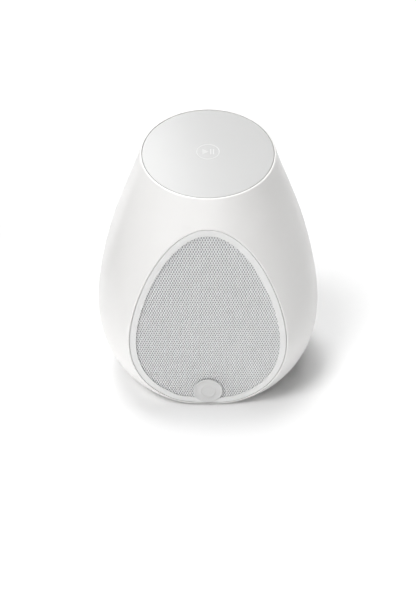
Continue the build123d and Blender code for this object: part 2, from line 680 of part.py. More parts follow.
# ---------------------------------------------------------------- chassis tray and boards
STANDOFFS = [(x, y) for x in (-46, -16, -4, 42) for y in (17, 64)]
BOARD_SCREWS = [Plane((x, y, BOARD_TOP)) for x, y in STANDOFFS]
PSU_LOW = (-50, 13)
PSU_HIGH = (-12, 82)
MAIN_LOW = (-8, 13)
MAIN_HIGH = (46, 85)
BRACKET_Y = -17.0
BRACKET = 1.6
AMP_SCREWS = [
    Plane(origin=(x, -9.6, z), x_dir=(1, 0, 0), z_dir=(0, 1, 0)) for x in (-36, 36) for z in (42, 94)
]

with BuildPart() as chassis_tray:
    block((-50, -56, TRAY_Z), (50, 76, TRAY_Z + TRAY))
    fillet(chassis_tray.edges().filter_by(Axis.Z), 6)
    with BuildSketch(Plane.XY.offset(TRAY_Z + TRAY)):
        with GridLocations(22, 12, 3, 2):
            SlotOverall(14, 4)
    extrude(amount=-TRAY, mode=Mode.SUBTRACT)
    drill(TRAY_POSTS, 1.6, TRAY)
    drill([Plane((x, y, TRAY_Z + TRAY)) for x, y in STANDOFFS], 1.2, TRAY)
    drill([Plane((x, -24, TRAY_Z + TRAY)) for x in (-30, 30)], 1.3, TRAY)
save(chassis_tray.part, "chassis_tray")

with BuildPart() as tray_screws:
    with Locations(*TRAY_POSTS):
        add(screw(2.8, 1.8, 1.3, 8))
    with Locations(*[Plane((x, -24, TRAY_Z + TRAY + BRACKET)) for x in (-30, 30)]):
        add(screw(2.4, 1.6, 1.3, 4))
save(tray_screws.part, "tray_screws")

with BuildPart() as board_standoffs:
    for x, y in STANDOFFS:
        with BuildSketch(Plane((x, y, TRAY_Z + TRAY))):
            RegularPolygon(2.8, 6)
        extrude(amount=STANDOFF)
    drill([place.offset(-BOARD) for place in BOARD_SCREWS], 1.0, STANDOFF)
save(board_standoffs.part, "board_standoffs")

with BuildPart() as board_screws:
    with Locations(*BOARD_SCREWS):
        add(screw(2.1, 1.4, 1.0, 5))
    with Locations(*AMP_SCREWS):
        add(screw(2.1, 1.4, 1.0, 4.2))
save(board_screws.part, "board_screws")

CAPACITORS = [(-44, 32, 5, 22), (-44, 44, 4, 16), (-33, 57, 6, 14), (-25, 19, 3, 11)]
with BuildPart() as power_supply_board:
    block((*PSU_LOW, BOARD_Z), (*PSU_HIGH, BOARD_TOP))
    block((-38, 24, BOARD_TOP), (-16, 48, BOARD_TOP + 18))
    block((-48, 49, BOARD_TOP), (-42, 59, BOARD_TOP + 10))
    block((-24, 50, BOARD_TOP), (-20, 66, BOARD_TOP + 14))
    for x, y, radius, height in CAPACITORS:
        with BuildSketch(Plane((x, y, BOARD_TOP))):
            Circle(radius)
        extrude(amount=height)
    drill([place for place in BOARD_SCREWS if place.origin.X < -10], 1.1, BOARD)
save(power_supply_board.part, "power_supply_board")

CHIPS = [(16, 42, 17, 17, 1.6), (34, 40, 11, 9, 1.1), (4, 44, 8, 12, 1.1), (31, 58, 14, 10, 2.2)]
with BuildPart() as main_board:
    block((*MAIN_LOW, BOARD_Z), (*MAIN_HIGH, BOARD_TOP))
    for x, y, width, depth, height in CHIPS:
        with Locations((x, y, BOARD_TOP)):
            Box(width, depth, height, align=(Align.CENTER, Align.CENTER, Align.MIN))
    block((RIBBON_X - 6, 20, BOARD_TOP), (RIBBON_X + 6, 23, BOARD_TOP + 2.4))
    drill([place for place in BOARD_SCREWS if place.origin.X > -10], 1.1, BOARD)
save(main_board.part, "main_board")

with BuildPart() as amplifier_bracket:
    block((-42, BRACKET_Y - BRACKET, TRAY_Z + TRAY), (42, BRACKET_Y, 100))
    block((-42, -31, TRAY_Z + TRAY), (42, BRACKET_Y, TRAY_Z + TRAY + BRACKET))
    for place in AMP_SCREWS:
        boss = Plane(origin=(place.origin.X, BRACKET_Y, place.origin.Z), x_dir=(1, 0, 0), z_dir=(0, 1, 0))
        with BuildSketch(boss):
            Circle(2.6)
        extrude(amount=5.8)
    drill(AMP_SCREWS, 1.0, 7)
    drill([Plane((x, -24, TRAY_Z + TRAY + BRACKET)) for x in (-30, 30)], 1.5, BRACKET)
save(amplifier_bracket.part, "amplifier_bracket")

with BuildPart() as amplifier_board:
    block((-40, -11.2, 38), (40, -9.6, 98))
    for x, z in ((-22, 48), (-8, 48), (8, 48), (22, 48)):
        with BuildSketch(Plane(origin=(x, -9.6, z), x_dir=(1, 0, 0), z_dir=(0, 1, 0))):
            Rectangle(10, 10)
        extrude(amount=5)
    block((-16, -9.6, 86), (16, -4.6, 92))
    drill(AMP_SCREWS, 1.1, BOARD)
save(amplifier_board.part, "amplifier_board")

with BuildPart() as heat_sink:
    block((-30, -9.6, 58), (30, -6.4, 82))
    for fin in range(11):
        x = -29 + fin * 5.8
        block((x - 0.8, -6.4, 58), (x + 0.8, 9.0, 82))
save(heat_sink.part, "heat_sink")

with BuildPart() as antennas:
    for x in (-24, 24):
        with BuildSketch(on_top(x, 26, GLASS + TOP_LEDGE + CARRIER)):
            RectangleRounded(14, 38, 2)
        extrude(amount=-0.8)
save(antennas.part, "antennas")


def cable(radius, bend, *points):
    """A round cable along straight runs joined by arcs."""
    with BuildPart() as run:
        with BuildLine() as path:
            FilletPolyline(*points, radius=bend)
        with BuildSketch(Plane(origin=path.line @ 0, z_dir=path.line % 0)):
            Circle(radius)
        sweep(path=path.line)
    return run.part


cup_back = FRONT.from_local_coords((0, TWEETER_V, -40))
terminal_top = FRONT.from_local_coords((0, WOOFER_V + 47.5, -44))
with BuildPart() as speaker_wires:
    add(cable(1.4, 7, (10, -7.0, 92), (10, -7.0, 122), terminal_top + FRONT.z_dir * -14, terminal_top))
    add(cable(1.2, 7, (-10, -7.0, 92), (-10, -7.0, 150), cup_back + FRONT.z_dir * -22, cup_back))
save(speaker_wires.part, "speaker_wires")

with BuildPart() as touch_cable:
    ribbon_top = TOP.from_local_coords((RIBBON_X, RIBBON_Y, -(GLASS + TOP_LEDGE + CARRIER + 0.4)))
    with BuildLine() as ribbon_path:
        bends = [(ribbon_top.Y, 225), (29, 190), (27, 90), (21.5, 50), (21.5, 28.2)]
        FilletPolyline(ribbon_top, *[(RIBBON_X, y, z) for y, z in bends], radius=12)
    with BuildSketch(Plane(origin=ribbon_top, x_dir=(1, 0, 0), z_dir=ribbon_path.line % 0)):
        Rectangle(10, 0.5)
    sweep(path=ribbon_path.line)
save(touch_cable.part, "touch_cable")

with BuildPart() as damping_foam:
    add(egg(WALL + 1.0))
    add(egg(WALL + 20.0), mode=Mode.SUBTRACT)
    split(bisect_by=Plane(origin=(0, 36, 0), z_dir=(0, 1, 0)), keep=Keep.TOP)
    split(bisect_by=Plane.XY.offset(215), keep=Keep.BOTTOM)
    split(bisect_by=Plane.XY.offset(110), keep=Keep.TOP)
save(damping_foam.part, "damping_foam")
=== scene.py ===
import json
from math import atan2, cos, pi, radians, sin

import bmesh
import bpy
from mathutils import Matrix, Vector


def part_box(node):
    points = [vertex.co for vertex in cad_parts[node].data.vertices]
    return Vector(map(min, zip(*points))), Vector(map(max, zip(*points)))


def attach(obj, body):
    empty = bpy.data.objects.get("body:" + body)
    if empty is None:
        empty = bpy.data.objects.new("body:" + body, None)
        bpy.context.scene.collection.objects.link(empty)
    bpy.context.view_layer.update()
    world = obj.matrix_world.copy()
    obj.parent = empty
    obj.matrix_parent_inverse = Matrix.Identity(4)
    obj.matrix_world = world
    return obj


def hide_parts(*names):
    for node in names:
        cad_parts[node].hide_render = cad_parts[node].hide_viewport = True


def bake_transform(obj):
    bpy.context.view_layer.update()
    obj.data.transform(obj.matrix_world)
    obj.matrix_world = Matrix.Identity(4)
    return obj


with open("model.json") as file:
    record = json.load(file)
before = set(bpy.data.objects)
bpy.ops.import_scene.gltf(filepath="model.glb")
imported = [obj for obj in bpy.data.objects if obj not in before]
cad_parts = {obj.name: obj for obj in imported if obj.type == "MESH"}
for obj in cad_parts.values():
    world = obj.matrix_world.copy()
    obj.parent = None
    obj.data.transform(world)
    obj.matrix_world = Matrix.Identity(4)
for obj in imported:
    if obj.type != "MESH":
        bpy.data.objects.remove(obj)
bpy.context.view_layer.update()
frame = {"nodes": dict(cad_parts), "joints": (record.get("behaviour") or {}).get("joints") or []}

MM = 0.001
SAME_POINT = 1e-7
TINY = 1e-6
SAME_ANGLE = 1e-6
NODES = frame["nodes"]
TRAVEL = {joint["name"]: joint for joint in frame["joints"]}

# ---------------------------------------------------------------- the two flat faces of the body
FRONT_OUT = Vector(TRAVEL["woofer_travel"]["axis"]).normalized()
ACROSS = Vector((1, 0, 0))
FRONT_UP = FRONT_OUT.cross(ACROSS)


def points_of(node):
    return [vertex.co.copy() for vertex in NODES[node].data.vertices]


def reach(node, direction):
    """How far a CAD node reaches along a direction: its least and its greatest."""
    heights = [point.dot(direction) for point in points_of(node)]
    return min(heights), max(heights)


def top_direction():
    """The upward normal of the glass top, from the largest face of the glass."""
    faces = NODES["top_glass"].data.polygons
    up = Vector((0, 0, 0))
    for face in faces:
        if face.normal.z > 0.95:
            up += face.normal * face.area
    return up.normalized()


TOP_UP = top_direction()
TOP_BACK = TOP_UP.cross(ACROSS)

# ---------------------------------------------------------------- materials
def finish(name, colour, roughness, metallic=0.0, **sockets):
    """A new material with its constant values on the shader's own sockets."""
    material = bpy.data.materials.new(name)
    material.use_nodes = True
    shader = material.node_tree.nodes["Principled BSDF"]
    shader.inputs["Base Color"].default_value = (*colour, 1)
    shader.inputs["Roughness"].default_value = roughness
    shader.inputs["Metallic"].default_value = metallic
    for socket, value in sockets.items():
        shader.inputs[socket.replace("_", " ")].default_value = value
    return material


def node(material, kind, inputs=None, **settings):
    """Adds a node, sets its settings, and sets or links its inputs."""
    tree = material.node_tree
    made = tree.nodes.new(kind)
    for key, value in settings.items():
        setattr(made, key, value)
    for key, value in (inputs or {}).items():
        if isinstance(value, bpy.types.NodeSocket):
            tree.links.new(value, made.inputs[key])
        else:
            made.inputs[key].default_value = value
    return made


def place(material, stretch=(1, 1, 1), turn=(0, 0, 0)):
    """Positions on the piece in metres, stretched and turned."""
    where = node(material, "ShaderNodeTexCoord").outputs["Object"]
    mapping = node(material, "ShaderNodeMapping", {"Vector": where, "Scale": stretch, "Rotation": turn})
    return mapping.outputs["Vector"]


def noise(material, size, detail=3.0, stretch=(1, 1, 1), turn=(0, 0, 0)):
    """Soft noise whose features are about size metres across."""
    made = node(
        material,
        "ShaderNodeTexNoise",
        {"Vector": place(material, stretch, turn), "Scale": 1 / size, "Detail": detail},
    )
    return made.outputs["Fac"]


def cells(material, size, feature="F1", stretch=(1, 1, 1)):
    """Cells about size metres across: the distance from each cell's middle or edge."""
    made = node(
        material,
        "ShaderNodeTexVoronoi",
        {"Vector": place(material, stretch), "Scale": 1 / size},
        feature=feature,
    )
    return made.outputs["Distance"]


def stripes(material, size, direction="X", turn=(0, 0, 0), wobble=0.0):
    """Even stripes, one every size metres along a direction."""
    made = node(
        material,
        "ShaderNodeTexWave",
        {"Vector": place(material, turn=turn), "Scale": 0.314 / size, "Distortion": wobble},
        bands_direction=direction,
    )
    return made.outputs["Fac"]


def spread(material, value, low, high, start=0.3, end=0.7):
    """A texture's range start..end mapped to low..high."""
    made = node(
        material,
        "ShaderNodeMapRange",
        {"Value": value, "From Min": start, "From Max": end, "To Min": low, "To Max": high},
    )
    return made.outputs["Result"]


def both(material, first, second, how="MULTIPLY"):
    made = node(material, "ShaderNodeMath", {0: first, 1: second}, operation=how)
    return made.outputs["Value"]


def paint(material, mask, dark, light, start=0.3, end=0.7):
    """Colours the material between two colours by a texture."""
    ramp = node(material, "ShaderNodeValToRGB", {"Fac": mask})
    ramp.color_ramp.elements[0].position = start
    ramp.color_ramp.elements[0].color = (*dark, 1)
    ramp.color_ramp.elements[1].position = end
    ramp.color_ramp.elements[1].color = (*light, 1)
    shader = material.node_tree.nodes["Principled BSDF"]
    material.node_tree.links.new(ramp.outputs["Color"], shader.inputs["Base Color"])


def gloss(material, mask, low, high):
    """Varies the roughness by a texture."""
    shader = material.node_tree.nodes["Principled BSDF"]
    material.node_tree.links.new(spread(material, mask, low, high), shader.inputs["Roughness"])


def relief(material, *layers):
    """Bump layers, each a texture and its height in metres, the broadest first."""
    shader = material.node_tree.nodes["Principled BSDF"]
    normal = None
    for texture, height in layers:
        inputs = {"Height": texture, "Distance": height, "Strength": 1.0}
        if normal is not None:
            inputs["Normal"] = normal
        normal = node(material, "ShaderNodeBump", inputs).outputs["Normal"]
    material.node_tree.links.new(normal, shader.inputs["Normal"])


def shades(colour, amount):
    """A darker and a lighter shade of a colour."""
    return [c * (1 - amount) for c in colour], [min(c * (1 + amount), 1.0) for c in colour]


def lacquer():
    """Satin white lacquer with a faint orange peel, dust nibs and a slow change of shade."""
    white = (0.90, 0.892, 0.88)
    made = finish("lacquer_white", white, 0.36, Coat_Weight=0.3, Coat_Roughness=0.16)
    paint(made, noise(made, 0.09, 2), *shades(white, 0.008))
    gloss(made, noise(made, 0.03, 4), 0.33, 0.40)
    relief(made, (noise(made, 0.0022, 2), 0.00002), (noise(made, 0.0004, 2), 0.000006))
    return made


def back_painted_glass():
    """Polished glass over white paint."""
    white = (0.515, 0.517, 0.513)
    made = finish("glass_white", white, 0.3, Coat_Weight=1.0, Coat_Roughness=0.24, IOR=1.52)
    paint(made, noise(made, 0.05, 2), *shades(white, 0.006))
    gloss(made, noise(made, 0.012, 4), 0.28, 0.34)
    return made


def moulded(name, colour, roughness=0.5, grain=0.0004, depth=0.00003, shade=0.04):
    """Moulded plastic with a spark-eroded grain and a slight flow of colour."""
    made = finish(name, colour, roughness, Specular_IOR_Level=0.45)
    paint(made, noise(made, 0.012, 4), *shades(colour, shade))
    gloss(made, noise(made, grain * 3, 3), roughness - 0.06, roughness + 0.07)
    relief(made, (noise(made, grain, 3), depth))
    return made


def powder_coat(name, colour, roughness=0.55, shade=0.04):
    """Baked powder paint: a fine pebbled skin."""
    made = finish(name, colour, roughness)
    paint(made, cells(made, 0.0009), *shades(colour, shade))
    gloss(made, noise(made, 0.004, 3), roughness - 0.05, roughness + 0.06)
    relief(made, (cells(made, 0.0006), 0.00003), (noise(made, 0.0002, 2), 0.00001))
    return made


def metal(name, colour, roughness=0.3, along=(1, 1, 1), shade=0.08, depth=0.00001):
    """Bare or plated metal, brushed along one direction where along is uneven."""
    made = finish(name, colour, roughness, metallic=1.0)
    paint(made, noise(made, 0.002, 5, stretch=along), *shades(colour, shade))
    gloss(made, noise(made, 0.0012, 4, stretch=along), roughness - 0.08, roughness + 0.12)
    relief(made, (noise(made, 0.0005, 4, stretch=along), depth))
    return made


def foam(name, colour, cell=0.0007, depth=0.0003):
    """Open foam: a skin of small cells, each pore's middle painted darker as painted shade."""
    made = finish(name, colour, 0.95, Specular_IOR_Level=0.2, Sheen_Weight=0.3, Sheen_Roughness=0.6)
    pore_dips_and_shade = cells(made, cell)
    # The middle of each pore is painted darker: painted shade in each pore.
    paint(made, pore_dips_and_shade, *shades(colour, 0.35), start=0.1, end=0.6)
    relief(made, (noise(made, cell * 6, 3), depth), (pore_dips_and_shade, depth * 0.6))
    return made


def rubber(name, colour, roughness=0.65):
    made = finish(
        name, colour, roughness, Specular_IOR_Level=0.4, Sheen_Weight=0.15, Sheen_Roughness=0.5
    )
    paint(made, noise(made, 0.006, 5), *shades(colour, 0.2))
    gloss(made, noise(made, 0.003, 4), roughness - 0.08, roughness + 0.1)
    relief(made, (noise(made, 0.0008, 3), 0.00003), (noise(made, 0.0002, 2), 0.00001))
    return made


def weave(name, colour, thread, depth, shade=0.25, sheen=0.3, turn=(0, 0, 0)):
    """Plain-woven cloth seen square to Y, one thread every thread metres; the gaps between the threads
    are painted darker as painted shade.
    """
    made = finish(name, colour, 0.85, Specular_IOR_Level=0.25, Sheen_Weight=sheen, Sheen_Roughness=0.5)
    warp = stripes(made, thread, "X", turn, 0.4)
    weft = stripes(made, thread, "Z", turn, 0.4)
    cloth = both(made, warp, weft)
    # Darker between the threads, by shade as a share of the colour: painted shade in the gaps of the
    # weave.
    paint(made, cloth, *shades(colour, shade), start=0.0, end=0.8)
    relief(made, (noise(made, thread * 9, 3), depth), (cloth, depth))
    return made


def pressed_fibre():
    """Coated cone paper: short fibres lying every way."""
    black = (0.05, 0.05, 0.054)
    made = finish("cone_paper", black, 0.7, Specular_IOR_Level=0.35)
    one_way = noise(made, 0.0005, 4, stretch=(1, 1, 0.15))
    other_way = noise(made, 0.0005, 4, stretch=(0.15, 1, 1))
    fibres = both(made, one_way, other_way)
    paint(made, fibres, *shades(black, 0.5), start=0.15, end=0.4)
    relief(made, (noise(made, 0.004, 3), 0.0001), (fibres, 0.00008))
    return made


def circuit_board():
    """Solder mask over copper tracks, with a faint glass weave."""
    green = (0.02, 0.13, 0.07)
    made = finish("board_green", green, 0.35, Coat_Weight=0.4, Coat_Roughness=0.25)
    tracks = node(
        made,
        "ShaderNodeTexBrick",
        {
            "Vector": place(made),
            "Scale": 120,
            "Mortar Size": 0.035,
            "Brick Width": 0.7,
            "Row Height": 0.18,
        },
        offset=0.35,
        squash=0.6,
        squash_frequency=3,
    )
    paint(made, tracks.outputs["Fac"], (0.015, 0.11, 0.06), (0.035, 0.21, 0.1), start=0.2, end=0.8)
    relief(made, (tracks.outputs["Fac"], 0.00003), (noise(made, 0.0004, 2), 0.00001))
    return made


def copper_winding():
    """Enamelled wire wound close about the driver's axis, the grooves between the windings painted
    darker as painted shade.
    """
    copper = (0.72, 0.34, 0.16)
    made = finish("coil_copper", copper, 0.28, metallic=1.0, Coat_Weight=0.6, Coat_Roughness=0.12)
    turn_grooves_and_shade = stripes(made, 0.0003, "Y")
    # The dark copper between the windings is painted shade in the grooves.
    paint(made, turn_grooves_and_shade, (0.35, 0.13, 0.05), copper, start=0.0, end=0.5)
    relief(made, (turn_grooves_and_shade, 0.0001))
    return made


def amber_film():
    """Polyimide film with copper lines along it."""
    amber = (0.62, 0.28, 0.06)
    made = finish("flex_amber", amber, 0.3, Coat_Weight=0.5, Coat_Roughness=0.2)
    lines = stripes(made, 0.001, "X")
    paint(made, lines, (0.42, 0.15, 0.03), amber, start=0.2, end=0.7)
    relief(made, (lines, 0.00003), (noise(made, 0.003, 3), 0.00004))
    return made


def opal():
    """Milky light-spreading plastic."""
    white = (0.9, 0.9, 0.88)
    made = finish("opal_plastic", white, 0.45, Subsurface_Weight=0.4, Subsurface_Scale=0.002)
    paint(made, noise(made, 0.004, 3), *shades(white, 0.03))
    relief(made, (noise(made, 0.0005, 3), 0.00002))
    return made


def ground_ceramic(name, colour):
    """Sintered ferrite with grinding marks and small chips."""
    made = finish(name, colour, 0.5, Specular_IOR_Level=0.5)
    paint(made, noise(made, 0.002, 6), *shades(colour, 0.3))
    marks = noise(made, 0.0006, 3, stretch=(0.05, 1, 1))
    gloss(made, marks, 0.4, 0.6)
    relief(made, (noise(made, 0.0015, 5), 0.00004), (marks, 0.00002))
    return made


def acoustic_cloth():
    """Pale loudspeaker cloth, an open plain weave."""
    return weave("acoustic_cloth", (0.40, 0.40, 0.405), 0.0007, 0.0001, shade=0.2, sheen=0.2)


def printed_mark():
    """Satin white ink, a shade lighter than the glass."""
    white = (0.66, 0.662, 0.658)
    made = finish("mark_ink", white, 0.4)
    paint(made, noise(made, 0.002, 3), *shades(white, 0.01))
    return made


FINISHES = {
    "shell_white": lacquer(),
    "glass_white": back_painted_glass(),
    "grille_white": moulded("frame_white", (0.84, 0.84, 0.835), 0.42, shade=0.01),
    "mesh_grey": powder_coat("mesh_grey", (0.90, 0.90, 0.905), 0.42, shade=0.02),
    "badge_white": moulded("badge_white", (0.70, 0.70, 0.695), 0.4, shade=0.01),
    "foam_black": foam("foam_black", (0.04, 0.04, 0.04)),
    "foam_grey": foam("wadding_grey", (0.3, 0.3, 0.31), 0.0015, 0.0006),
    "rubber_grey": rubber("rubber_grey", (0.1, 0.1, 0.1)),
    "surround_rubber": rubber("surround_rubber", (0.03, 0.03, 0.03), 0.5),
    "opal_plastic": opal(),
    "black_plastic": moulded("black_plastic", (0.028, 0.028, 0.03), 0.5, shade=0.15),
    "steel_screw": metal("zinc_plate", (0.56, 0.57, 0.58), 0.32),
    "steel_sheet": metal("rolled_steel", (0.58, 0.59, 0.6), 0.36, along=(0.08, 1, 1)),
    "plated_steel": metal("nickel_plate", (0.72, 0.71, 0.69), 0.24),
    "magnet_nickel": metal("magnet_nickel", (0.7, 0.7, 0.7), 0.18),
    "aluminium_black": metal("black_anodised", (0.06, 0.06, 0.065), 0.45, along=(1, 1, 0.08), shade=0.2),
    "black_steel": powder_coat("black_steel", (0.03, 0.03, 0.032)),
    "ferrite": ground_ceramic("ferrite", (0.06, 0.06, 0.064)),
    "cone_paper": pressed_fibre(),
    "spider_cloth": weave("spider_cloth", (0.55, 0.42, 0.17), 0.0006, 0.0001),
    "dome_silk": weave("dome_silk", (0.06, 0.06, 0.07), 0.0003, 0.00003, sheen=0.5),
    "coil_copper": copper_winding(),
    "board_green": circuit_board(),
    "wire_pvc": moulded("wire_pvc", (0.4, 0.03, 0.03), 0.4, shade=0.1),
    "flex_amber": amber_film(),
}

for part in NODES.values():
    for held in part.material_slots:
        held.material = FINISHES[held.material.name]


# ---------------------------------------------------------------- pieces in mesh code
def piece(name, mesh, material, body="cabinet", smooth_below=35):
    """A finished mesh as a piece that rides on a body."""
    data = bpy.data.meshes.new(name)
    bmesh.ops.recalc_face_normals(mesh, faces=mesh.faces)
    mesh.to_mesh(data)
    mesh.free()
    data.materials.append(material)
    made = bpy.data.objects.new(name, data)
    bpy.context.scene.collection.objects.link(made)
    data.shade_smooth()
    data.set_sharp_from_angle(angle=radians(smooth_below))
    if body is not None:
        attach(made, body)
    return made


def outline_of(node_name, across, up):
    """A convex node's outline along across and up: its centre, and its radius at each angle."""
    flat = [(point.dot(across), point.dot(up)) for point in points_of(node_name)]
    centre = [(min(p[i] for p in flat) + max(p[i] for p in flat)) / 2 for i in (0, 1)]
    polar = {}
    for u, v in flat:
        angle = atan2(v - centre[1], u - centre[0])
        radius = Vector((u - centre[0], v - centre[1])).length
        key = round(angle, 4)
        polar[key] = max(polar.get(key, 0.0), radius)
    return Vector(centre), sorted(polar.items())


def radius_at(polar, angle):
    """The outline's radius at an angle, along the chord between the nearest two of its points."""
    later = next((i for i, (a, _) in enumerate(polar) if a >= angle), 0)
    a1, r1 = polar[later - 1]
    a2, r2 = polar[later]
    span = (a2 - a1) % (2 * pi)
    share = ((angle - a1) % (2 * pi)) / span if span > SAME_ANGLE else 0.0
    return r1 + (r2 - r1) * min(share, 1.0)


MESH_BACK, MESH_FRONT = reach("grille_mesh", FRONT_OUT)
mesh_centre, mesh_outline = outline_of("grille_mesh", ACROSS, FRONT_UP)


def on_grille(u, v, height):
    """A point from its places across and up the front, and its height along the outward normal."""
    return ACROSS * u + FRONT_UP * v + FRONT_OUT * height


def kept_in(u, v, inset):
    """A flat point, drawn back to the mesh's outline where it lies outside it."""
    offset = Vector((u, v)) - mesh_centre
    if offset.length < TINY:
        return u, v
    most = radius_at(mesh_outline, atan2(offset.y, offset.x)) - inset
    if offset.length > most:
        offset *= most / offset.length
    return tuple(mesh_centre + offset)


DIAMOND_WIDE = 2.5 * MM
DIAMOND_HIGH = 5.0 * MM
STRAND = 0.80 * MM
STRAND_CROWN = 0.42 * MM
STRAND_DIP = 0.32 * MM
LATTICE = 0.5 * MM
SOLID_RIM = 0.6 * MM  # no hole has its middle nearer the outline than this


def diamond_lattice():
    """Expanded-metal mesh: crowned strands about diamonds; those leaning left dip between the others."""
    mesh = bmesh.new()
    half_wide, half_high = DIAMOND_WIDE / 2, DIAMOND_HIGH / 2
    slant = (half_wide**2 + half_high**2) ** 0.5
    share = 1 - STRAND / 2 * slant / (half_wide * half_high)
    back = MESH_FRONT - LATTICE
    backs = {}
    shared = {}

    def through(u, v, height):
        """A point on the front of the lattice and the one on its back behind it."""
        pair = [mesh.verts.new(on_grille(u, v, h)) for h in (height, back)]
        backs[pair[0]] = pair[1]
        return pair

    def crossing(column, row):
        """The crown where two strands cross, shared by the diamonds about it."""
        if (column, row) not in shared:
            u, v = kept_in(column * half_wide, mesh_centre.y + row * half_high, 0)
            shared[column, row] = through(u, v, MESH_FRONT)
        return shared[column, row]

    def dip(first, second):
        """The low point of a left-leaning strand between two crossings."""
        key = tuple((a + b) / 2 for a, b in zip(first, second))
        if key not in shared:
            ends = [crossing(*place)[0].co for place in (first, second)]
            middle = (ends[0] + ends[1]) / 2
            shared[key] = through(middle.dot(ACROSS), middle.dot(FRONT_UP), MESH_FRONT - STRAND_DIP)
        return shared[key]

    columns = int(max(r for _, r in mesh_outline) / half_wide) + 1
    rows = int(max(r for _, r in mesh_outline) / half_high) + 1
    for column in range(-columns, columns + 1):
        for row in range(-rows, rows + 1):
            u, v = column * half_wide, mesh_centre.y + row * half_high
            outside = (Vector(kept_in(u, v, SOLID_RIM)) - Vector((u, v))).length > SAME_POINT
            if (column + row) % 2 == 0 or outside:
                continue
            steps = [(1, 0), (0, 1), (-1, 0), (0, -1)]
            places = [(column + i, row + j) for i, j in steps]
            around = [crossing(*place) for place in places]
            hole = [
                through(
                    *kept_in(u + i * half_wide * share, v + j * half_high * share, 0),
                    MESH_FRONT - STRAND_CROWN,
                )
                for i, j in steps
            ]
            for i in range(4):
                j = (i + 1) % 4
                mesh.faces.new((hole[i][0], hole[j][0], hole[j][1], hole[i][1]))
                if i % 2:
                    for side in (0, 1):
                        mesh.faces.new((around[i][side], around[j][side], hole[j][side], hole[i][side]))
                    continue
                low = dip(places[i], places[j])
                for side in (0, 1):
                    mesh.faces.new((around[i][side], low[side], hole[i][side]))
                    mesh.faces.new((low[side], around[j][side], hole[j][side]))
                    mesh.faces.new((low[side], hole[j][side], hole[i][side]))
    for edge in [edge for edge in mesh.edges if edge.is_boundary]:
        a, b = edge.verts
        if a in backs and b in backs:
            mesh.faces.new((a, b, backs[b], backs[a]))
    return mesh


lattice = piece("grille_lattice", diamond_lattice(), FINISHES["mesh_grey"], smooth_below=30)
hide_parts("grille_mesh")

CLOTH_RINGS = 24
CLOTH_SPOKES = 96
CLOTH = 0.12 * MM
CLOTH_INSET = 0.2 * MM


def stretched_cloth():
    """Acoustic cloth behind the lattice: one thin sheet cut to the mesh's outline."""
    mesh = bmesh.new()
    sides = []
    for height in (MESH_BACK + CLOTH, MESH_BACK):
        middle = mesh.verts.new(on_grille(*mesh_centre, height))
        loops = []
        for ring_number in range(1, CLOTH_RINGS + 1):
            loop = []
            for spoke in range(CLOTH_SPOKES):
                angle = -pi + 2 * pi * spoke / CLOTH_SPOKES
                radius = (radius_at(mesh_outline, angle) - CLOTH_INSET) * ring_number / CLOTH_RINGS
                u, v = mesh_centre.x + radius * cos(angle), mesh_centre.y + radius * sin(angle)
                loop.append(mesh.verts.new(on_grille(u, v, height)))
            loops.append(loop)
        for i in range(CLOTH_SPOKES):
            j = (i + 1) % CLOTH_SPOKES
            mesh.faces.new((middle, loops[0][i], loops[0][j]))
            for inner, outer in zip(loops, loops[1:]):
                mesh.faces.new((inner[i], outer[i], outer[j], inner[j]))
        sides.append(loops[-1])
    for i in range(CLOTH_SPOKES):
        j = (i + 1) % CLOTH_SPOKES
        mesh.faces.new((sides[0][i], sides[0][j], sides[1][j], sides[1][i]))
    return mesh


def outline_size(polar):
    """An outline's width, height and area."""
    flat = [(radius * cos(angle), radius * sin(angle)) for angle, radius in polar]
    wide = max(x for x, _ in flat) - min(x for x, _ in flat)
    high = max(y for _, y in flat) - min(y for _, y in flat)
    pairs = zip(flat, flat[1:] + flat[:1])
    area = sum(x1 * y2 - x2 * y1 for (x1, y1), (x2, y2) in pairs) / 2
    return wide, high, area


cloth = piece("grille_cloth", stretched_cloth(), acoustic_cloth())
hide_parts("grille_mesh")
cloth_wide, cloth_high, cloth_area = outline_size(mesh_outline)


# ---------------------------------------------------------------- turned pieces
FULL_TURN_STEPS = 96


def middle_of(node_name):
    """Where a round front piece's axis meets the plane through the frame's origin."""
    low, high = reach(node_name, FRONT_UP)
    return FRONT_UP * ((low + high) / 2)


def turned(profile, centre, out, up, start=0.0, end=2 * pi, steps=FULL_TURN_STEPS):
    """A closed profile of (radius, height) turned about out; a part turn is closed at its ends."""
    mesh = bmesh.new()
    side = up.cross(out)
    full = end - start > 2 * pi - SAME_ANGLE
    loops = []
    for step in range(steps if full else steps + 1):
        angle = start + (end - start) * step / steps
        spoke = side * cos(angle) + up * sin(angle)
        points = [centre + spoke * radius + out * height for radius, height in profile]
        loops.append([mesh.verts.new(point) for point in points])
    pairs = list(zip(loops, loops[1:] + loops[:1])) if full else list(zip(loops, loops[1:]))
    for first, second in pairs:
        for i in range(len(profile)):
            j = (i + 1) % len(profile)
            mesh.faces.new((first[i], first[j], second[j], second[i]))
    if not full:
        mesh.faces.new(loops[0])
        mesh.faces.new(loops[-1])
    bmesh.ops.remove_doubles(mesh, verts=mesh.verts, dist=SAME_POINT)
    bmesh.ops.dissolve_degenerate(mesh, edges=mesh.edges, dist=SAME_POINT)
    return mesh


